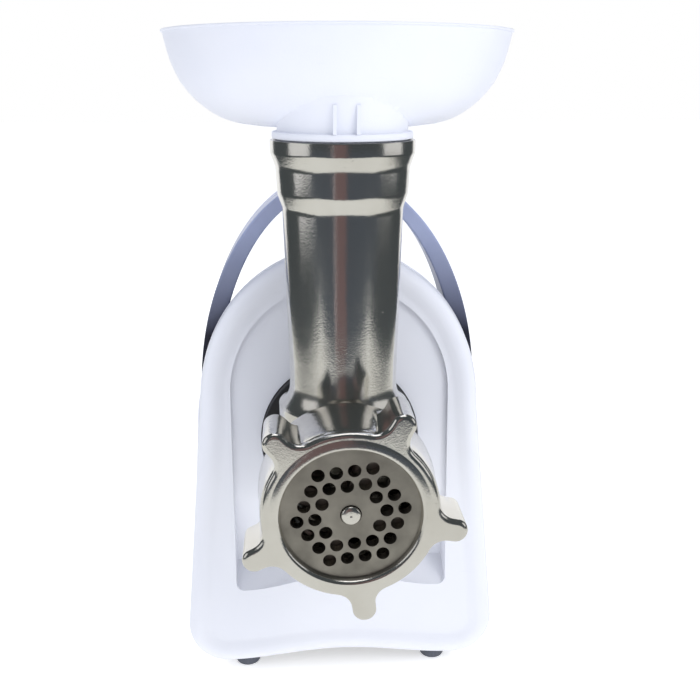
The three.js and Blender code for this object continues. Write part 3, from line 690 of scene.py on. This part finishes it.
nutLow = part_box("ring_nut")[0]
nut = {"lugs": 5, "firstTurn": -10.6, "tip": 49 * mm, "tipRound": 5.1 * mm, "fillet": 7 * mm,
       "valley": 36.6 * mm, "lugStart": 0.7 * mm, "lugEnd": 25 * mm, "soften": 2.1 * mm, "sides": 160,
       "filletSteps": 8, "tipSteps": 12, "valleySteps": 9,
       "body": ((0, 0), (30.6, 0), (32, 0.15), (33.4, 0.5), (34.8, 1.2), (36, 2.3), (36.8, 3.8), (37.2, 5.5),
                (37.5, 12), (38.1, 24), (38.4, 26.4), (38.5, 30), (38.2, 30.7), (37.6, 31), (0, 31)),
       "bore": ((0, -1), (30.9, -1), (30.6, 0), (30.1, 0.15), (29.6, 0.5), (29.2, 1), (28.9, 1.7),
                (28.75, 2.7), (33.8, 2.9), (34.3, 4), (34.3, 29), (34.5, 30.2), (35.4, 31), (36, 32),
                (0, 32))}


def lugOutline():
    # round lug tips, hollow fillets and arcs between them
    tipRound, fillet, valley = nut["tipRound"], nut["fillet"], nut["valley"]
    side = tipRound + fillet
    foot = math.asin(side / (valley + fillet))
    rise = math.sqrt((valley + fillet) ** 2 - side ** 2)
    lug = []
    for k in range(nut["filletSteps"] + 1):
        turn = math.pi + (math.pi / 2 - foot) * (1 - k / nut["filletSteps"])
        lug.append((side + fillet * math.cos(turn), rise + fillet * math.sin(turn)))
    for k in range(1, nut["tipSteps"] + 1):
        turn = math.pi / 2 * k / nut["tipSteps"]
        lug.append((tipRound * math.cos(turn), nut["tip"] - tipRound + tipRound * math.sin(turn)))
    lug += [(-s, r) for s, r in lug[-2::-1]]
    between = 2 * math.pi / nut["lugs"] - 2 * foot
    outline = []
    for i in range(nut["lugs"]):
        middle = math.radians(nut["firstTurn"]) - math.pi / 2 + 2 * math.pi * i / nut["lugs"]
        for s, r in lug:
            outline.append((s * math.cos(middle) - r * math.sin(middle),
                            axisZ + s * math.sin(middle) + r * math.cos(middle)))
        for k in range(1, nut["valleySteps"]):
            turn = middle + math.pi / 2 + foot + between * k / nut["valleySteps"]
            outline.append((nut["valley"] * math.cos(turn), axisZ + nut["valley"] * math.sin(turn)))
    return outline


def ringNut():
    piece = drawFace("ringNut", onPlane(lugOutline(), nutLow.y + nut["lugEnd"] - nut["soften"]), (0, -1, 0))
    pushFace(Vector((0, nut["lugStart"] + 2 * nut["soften"] - nut["lugEnd"], 0)))
    roundOver(nut["soften"], nut["soften"], steps=6)
    closeUp(piece)
    cut(piece, spun("nutBody", along(nut["body"], nutLow.y), axisSpot, "Y", nut["sides"]), operation="UNION")
    cut(piece, spun("nutBore", along(nut["bore"], nutLow.y), axisSpot, "Y", nut["sides"]))
    smooth(piece, angle=40)
    standFor(piece, ["ring_nut"], "nut")


plate = {"radius": 31 * mm, "hole": 2.75 * mm, "pitch": 7.4 * mm, "turn": 6.6, "pin": 4.45 * mm,
         "soften": 0.25 * mm, "sides": 128, "pinSides": 48, "holeSides": 32, "drillLong": 8 * mm,
         "rings": (2, 3)}


def holePlaces():
    # the two outer rings of a hexagonal lattice
    turn = math.radians(plate["turn"])
    inner, outer = plate["rings"]
    for row in range(-outer, outer + 1):
        for step in range(-outer, outer + 1):
            if inner <= max(abs(row), abs(step), abs(row + step)) <= outer:
                x, z = plate["pitch"] * (step + row / 2), plate["pitch"] * row * math.sqrt(3) / 2
                yield x * math.cos(turn) - z * math.sin(turn), x * math.sin(turn) + z * math.cos(turn)


def addDrill(radius, sides, x, z):
    bpy.ops.mesh.primitive_cylinder_add(vertices=sides, radius=radius, depth=plate["drillLong"])
    if bpy.context.object.mode != "EDIT":
        bpy.ops.object.mode_set(mode="EDIT")
        bpy.ops.mesh.select_all(action="SELECT")
    bpy.ops.transform.rotate(value=math.pi / 2, orient_axis="X", center_override=(0, 0, 0))
    bpy.ops.transform.translate(value=(x, (plateLow.y + plateHigh.y) / 2, axisZ + z))


def cuttingPlate():
    # the first drill makes an object, and the others are added to its mesh
    piece = rod("cuttingPlate", plate["radius"], plateLow.y, plateHigh.y, axisSpot, "Y", plate["sides"])
    deselectAll()
    addDrill(plate["pin"], plate["pinSides"], 0, 0)
    drill = bpy.context.object
    for x, z in holePlaces():
        addDrill(plate["hole"], plate["holeSides"], x, z)
    bpy.ops.object.mode_set(mode="OBJECT")
    cut(piece, drill)
    bevelled(piece, plate["soften"], segments=2, angle=50)
    smooth(piece, angle=40)
    standFor(piece, ["cutting_plate"], "head")


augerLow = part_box("auger")[0]
auger = {"flight": 24 * mm, "root": 8 * mm, "thick": 3.2 * mm, "taper": 0.9 * mm, "turns": 3,
         "start": 13.5 * mm, "travel": 65 * mm, "steps": 144, "sides": 64,
         "punch": 0.7 * mm, "punchDeep": 1.2 * mm,
         "core": ((0, 0.35), (2.2, 0.36), (3.3, 0.5), (3.9, 0.9), (4.15, 1.5), (4.15, 13.6), (9.6, 14),
                  (10, 14.6), (13.6, 84), (13.2, 84.4), (8.2, 84.6), (8.2, 97), (6.2, 97.2),
                  (6.2, 118.9), (5.6, 119.5), (0, 119.5))}


def augerScrew():
    start, end = plateFrontY + auger["start"], auger["thick"]
    corners = [(auger["root"], 0), (auger["flight"], auger["taper"]), (auger["flight"], end - auger["taper"]),
               (auger["root"], end)]
    flight = drawFace("augerFlight", [Vector((0, start + y, r)) for r, y in corners], (1, 0, 0))
    bpy.ops.mesh.delete(type="ONLY_FACE")
    bpy.ops.object.mode_set(mode="OBJECT")
    applied(flight, "SCREW", axis="Y", angle=2 * math.pi * auger["turns"], screw_offset=auger["travel"],
            steps=auger["steps"], render_steps=auger["steps"])
    bpy.ops.object.mode_set(mode="EDIT")
    bpy.ops.mesh.select_all(action="SELECT")
    bpy.ops.transform.translate(value=axisSpot)
    bpy.ops.mesh.fill_holes(sides=len(corners))
    closeUp(flight)
    piece = spun("augerScrew", along(auger["core"], augerLow.y), axisSpot, "Y", auger["sides"])
    cut(piece, flight, operation="UNION")
    ahead = augerLow.y - mm
    mark = [(0, ahead), (auger["punch"], ahead), (auger["punch"], augerLow.y),
            (0, augerLow.y + auger["punchDeep"])]
    cut(piece, spun("punchMark", mark, axisSpot, "Y", steps=16))
    smooth(piece, angle=36)
    standFor(piece, ["auger"], "auger")


trayLow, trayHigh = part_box("hopper_tray")
collarTop = headHigh.z
# outlines are radius and height in mm above the feed tube's rim
tray = {
    "floor": 4, "wall": 2.2, "spare": 1,
    "outer": ((30, 4), (38, 4.25), (45, 5.2), (49, 6.3), (52.5, 7.6), (56, 9.5), (59.5, 11.9), (63.2, 15),
              (66.5, 18.6), (69.4, 22.5), (71.6, 26.8), (73.3, 31), (74.6, 35.5), (75.5, 39.5), (76.2, 43)),
    "lip": ((76.9, 43.2), (77, 43.6), (76.8, 44), (74.6, 44), (74.2, 43.6)),
    "neck": ((0, -10), (26.4, -10), (27.3, -8), (27.3, 0.5), (29.2, 0.5), (29.5, 0.9), (29.5, 2.7),
             (29.2, 3.2), (27.4, 3.4), (27.3, 5), (27.7, 8), (28.4, 11), (29.3, 14), (30, 17),
             (30, 20), (0, 20)),
    "ribX": 4.6 * mm, "ribHalf": 0.7 * mm, "ribReach": 29.8 * mm, "ribLow": 3.3 * mm, "ribHigh": 14.5 * mm,
    "throat": 24.5 * mm, "throatDown": 12 * mm, "throatUp": 30 * mm, "sides": 160, "neckSides": 96,
    "soften": 0.4 * mm}


def innerWall(outside):
    # each point of the outline moved in by the wall, square to the outline there
    inside = []
    for i, (r, h) in enumerate(outside):
        (ra, ha), (rb, hb) = outside[max(i - 1, 0)], outside[min(i + 1, len(outside) - 1)]
        length = math.hypot(rb - ra, hb - ha)
        inside.append((r - tray["wall"] * (hb - ha) / length, h + tray["wall"] * (rb - ra) / length))
    return inside


def hopperTray():
    bowlSpot, neckSpot = (0, (trayLow.y + trayHigh.y) / 2, 0), (0, tubeY, 0)
    top = tray["lip"][2][1]
    above = top + tray["spare"]
    solid = [(0, tray["floor"]), *tray["outer"], *tray["lip"][:3], (0, top)]
    room = [(0, tray["floor"] + tray["wall"]), *innerWall(tray["outer"]), tray["lip"][4],
            (tray["lip"][3][0], above), (0, above)]
    piece = spun("hopperTray", along(solid, collarTop), bowlSpot, "Z", tray["sides"])
    neck = spun("trayNeck", along(tray["neck"], collarTop), neckSpot, "Z", tray["neckSides"])
    cut(piece, neck, operation="UNION")
    for side in (-1, 1):
        x = side * tray["ribX"]
        rib = block("trayRib", (x - tray["ribHalf"], tubeY - tray["ribReach"], collarTop + tray["ribLow"]),
                    (x + tray["ribHalf"], tubeY - tray["throat"], collarTop + tray["ribHigh"]))
        cut(piece, rib, operation="UNION")
    cut(piece, spun("trayRoom", along(room, collarTop), bowlSpot, "Z", tray["sides"]),
        rod("trayThroat", tray["throat"], collarTop - tray["throatDown"], collarTop + tray["throatUp"],
            neckSpot, "Z", tray["neckSides"]))
    bevelled(piece, tray["soften"], segments=2, angle=50)
    smooth(piece, angle=40)
    standFor(piece, ["hopper_tray"], "tray")


# in mm: the screw's hole, its floor, and where the foot stops spreading
foot = {"hole": 2.3, "holeFloor": 5, "straight": 8, "edge": 0.6, "sides": 48}


def rubberFoot(node):
    low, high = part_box(node)
    radius, top = (high.x - low.x) / 2 / mm, high.z / mm
    profile = [(0, 0), (radius - 0.9, 0), (radius - 0.4, 0.2), (radius - 0.1, 0.7),
               (radius, foot["straight"]), (radius, top - foot["edge"]), (radius - foot["edge"], top),
               (foot["hole"], top), (foot["hole"], foot["holeFloor"]), (0, foot["holeFloor"])]
    name = node.replace("foot_", "rubberFoot_")
    piece = spun(name, along(profile, 0), middleOf(node), "Z", foot["sides"])
    smooth(piece, angle=40)
    standFor(piece, [node], "machine")


# small turned pieces: node, name, body, axis and profile in mm from the node's low end
turnedPieces = (
    ("socket_ring", "socketRing", "machine", "Y",
     ((27.4, 2), (37, 2), (38, 2.5), (38.4, 3.5), (38.4, 13.2), (27.4, 13.2), (27.4, 2))),
    ("lock_button", "lockButton", "lock", "Z",
     ((0, 0), (3, 0), (3, 12.5), (8.6, 12.5), (9, 12.9), (9, 20.9), (8.5, 22), (7.4, 22.5), (6.4, 22.3),
      (4, 21.8), (0, 21.6))),
    ("cord_grommet", "cordGrommet", "machine", "Y",
     ((3.6, 0), (7, 0), (7, 6.2), (6.6, 7), (5.5, 7.9), (4.6, 8), (3.9, 7.6), (3.6, 7), (3.6, 0))),
)


def turnedPiece(node, name, body, axis, profile):
    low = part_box(node)[0]
    start = low.z if axis == "Z" else low.y
    piece = spun(name, along(profile, start), middleOf(node), axis, 96)
    smooth(piece, angle=40)
    standFor(piece, [node], body)


switch = {"opening": 8 * mm, "soften": 0.8 * mm, "bend": 1.2 * mm, "border": 1.4 * mm, "press": 0.4 * mm,
          "keySoften": 0.35 * mm}


def switchBezel():
    low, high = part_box("switch_bezel")
    piece = block("switchBezel", low, high)
    for node in ("power_rocker", "reverse_rocker"):
        a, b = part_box(node)
        x = (a.x + b.x) / 2
        cut(piece, block("rockerHole", (x - switch["opening"], low.y - mm, a.z - mm),
                         (x + switch["opening"], high.y + mm, b.z + mm)))
    bevelled(piece, switch["soften"])
    smooth(piece, angle=40)
    standFor(piece, ["switch_bezel"], "machine")


def rocker(node, name, body):
    # a key bent inwards at its middle, with a pressed panel on each half
    low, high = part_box(node)
    middle = (low + high) / 2
    piece = block(name, low, high)
    bpy.ops.object.mode_set(mode="EDIT")
    bpy.ops.mesh.select_all(action="SELECT")
    bpy.ops.mesh.bisect(plane_co=middle, plane_no=(0, 0, 1))
    choose("VERT", lambda spot, item: spot.y > middle.y and abs(spot.z - middle.z) < near)
    bpy.ops.transform.translate(value=(0, -switch["bend"], 0))
    choose("FACE", lambda spot, item: item.normal.y > 0.9)
    bpy.ops.mesh.inset(thickness=switch["border"], depth=-switch["press"], use_individual=True)
    closeUp(piece)
    bevelled(piece, switch["keySoften"], segments=2, angle=20)
    smooth(piece, angle=40)
    standFor(piece, [node], body)


spring = {"wire": 0.5 * mm, "sides": 10, "turns": 4, "stepsPerTurn": 32, "travel": 4 * mm}


def lockSpring():
    # a round wire wound into a coil
    low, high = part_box("lock_spring")
    middle = (low + high) / 2
    radius = (high.x - low.x) / 2 - spring["wire"]
    turns = [2 * math.pi * i / spring["sides"] for i in range(spring["sides"])]
    start = low.z + spring["wire"]
    wire = [Vector((radius + spring["wire"] * math.cos(t), 0, start + spring["wire"] * math.sin(t)))
            for t in turns]
    piece = drawFace("lockSpringCoil", wire, (0, -1, 0))
    bpy.ops.mesh.delete(type="ONLY_FACE")
    bpy.ops.object.mode_set(mode="OBJECT")
    steps = spring["turns"] * spring["stepsPerTurn"]
    applied(piece, "SCREW", axis="Z", angle=2 * math.pi * spring["turns"], steps=steps, render_steps=steps,
            screw_offset=high.z - low.z - 2 * spring["wire"])
    bpy.ops.object.mode_set(mode="EDIT")
    bpy.ops.mesh.select_all(action="SELECT")
    bpy.ops.transform.translate(value=(middle.x, middle.y, 0))
    bpy.ops.mesh.fill_holes(sides=spring["sides"])
    closeUp(piece)
    smooth(piece, angle=50)
    standFor(piece, ["lock_spring"], "machine")
    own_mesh(piece)


frontHousing()
rearHousing()
carryHandle()
headCasting()
ringNut()
cuttingPlate()
augerScrew()
hopperTray()
for nodeName in sorted(frame["nodes"]):
    if nodeName.startswith("foot_") and "screw" not in nodeName:
        rubberFoot(nodeName)
for row in turnedPieces:
    turnedPiece(*row)
lockSpring()
switchBezel()
rocker("power_rocker", "powerRocker", "power_switch")
rocker("reverse_rocker", "reverseRocker", "reverse_switch")
print("pieces made")


stage = {"paper": (0.93, 0.93, 0.93), "glow": 0.46, "roomTone": (0.89, 0.925, 1.0), "roomLight": 0.78,
         "darkRoom": (0.062, 0.07, 0.074)}
# name, centre, size, turn in degrees, strength and tone of what polished metal reflects:
# a white table with an end, a backdrop and a few soft boxes
cards = (
    ("tableCard", (0, -0.08, 0.5 * mm), (1.0, 0.88), (0, 0, 0), 0.74, (1.0, 1.0, 0.95)),
    ("groundCard", (0, -1.7, 0.2 * mm), (4, 2.36), (0, 0, 0), 0.085, (0.8, 0.92, 1.1)),
    ("backCard", (0, 0.9, 0.4), (1.6, 1.2), (90, 0, 0), 1.0, (1, 1, 1)),
    ("topBox", (0.0, -0.25, 0.95), (0.5, 0.35), (0, 0, 0), 1.6, (1, 1, 1)),
    ("warmCard", (-0.045, -0.45, 0.2), (0.13, 0.3), (90, 0, 0), 0.15, (1.0, 0.66, 0.66)),
    ("stripCard", (-0.118, -0.45, 0.2), (0.01, 0.3), (90, 0, 0), 0.6, (1, 0.88, 0.88)),
    ("leftBox", (-0.7, -0.3, 0.35), (0.5, 0.5), (0, 90, 0), 0.7, (1, 1, 1)),
    ("rightBox", (0.7, -0.2, 0.35), (0.4, 0.5), (0, 90, 0), 0.7, (1, 1, 1)),
)
# name, place, aim, size and power
lights = (
    ("key", (0.55, -0.75, 0.75), (0, 0, 0.12), (0.5, 0.5), 2.6),
    ("fill", (-0.5, 0.5, 0.9), (0, 0, 0.15), (0.6, 0.6), 1.2),
)


def card(name, centre, size, turn, strength, tone):
    # a panel that only reflections see
    deselectAll()
    bpy.ops.mesh.primitive_plane_add(size=1, location=centre, rotation=[math.radians(a) for a in turn])
    piece = bpy.context.object
    piece.name = name
    piece.scale = (size[0], size[1], 1)
    piece.data.materials.append(Finish(name).done(
        Base_Color=(0, 0, 0), Roughness=1.0, Emission_Color=tone, Emission_Strength=strength))
    for ray in ("visible_camera", "visible_diffuse", "visible_shadow", "visible_transmission"):
        setattr(piece, ray, False)


def light(name, place, aim, size, power):
    data = bpy.data.lights.new(name, "AREA")
    data.shape = "RECTANGLE"
    data.size, data.size_y = size
    data.energy = power
    lamp = bpy.data.objects.new(name, data)
    scene.collection.objects.link(lamp)
    lamp.location = place
    lamp.rotation_euler = (Vector(aim) - Vector(place)).to_track_quat("-Z", "Y").to_euler()
    lamp.visible_glossy = False


def floorPiece():
    deselectAll()
    bpy.ops.mesh.primitive_plane_add(size=12)
    floor = bpy.context.object
    floor.name = "floor"
    floor.visible_glossy = False
    floor.data.materials.append(Finish("paper").done(
        Base_Color=stage["paper"], Roughness=0.9, Emission_Color=(1, 1, 1), Emission_Strength=stage["glow"]))


def studioWorld():
    # the camera sees white, diffuse rays a tinted room and glossy rays a dark one
    world = bpy.data.worlds.new("studio")
    scene.world = world
    world.use_nodes = True
    tree = world.node_tree
    path = tree.nodes.new("ShaderNodeLightPath")
    seen = tree.nodes.new("ShaderNodeMix")
    reflected = tree.nodes.new("ShaderNodeMix")
    for mix, ray, tone in ((seen, "Is Camera Ray", (1, 1, 1)),
                           (reflected, "Is Glossy Ray", stage["darkRoom"])):
        mix.data_type = "RGBA"
        mix.inputs[7].default_value = (*tone, 1)
        tree.links.new(path.outputs[ray], mix.inputs[0])
    seen.inputs[6].default_value = (*[c * stage["roomLight"] for c in stage["roomTone"]], 1)
    tree.links.new(seen.outputs[2], reflected.inputs[6])
    tree.links.new(reflected.outputs[2], tree.nodes["Background"].inputs["Color"])


def buildStage():
    floorPiece()
    for row in cards:
        card(*row)
    studioWorld()
    scene.view_settings.view_transform = "Standard"
    for row in lights:
        light(*row)


buildStage()
print("stage built")
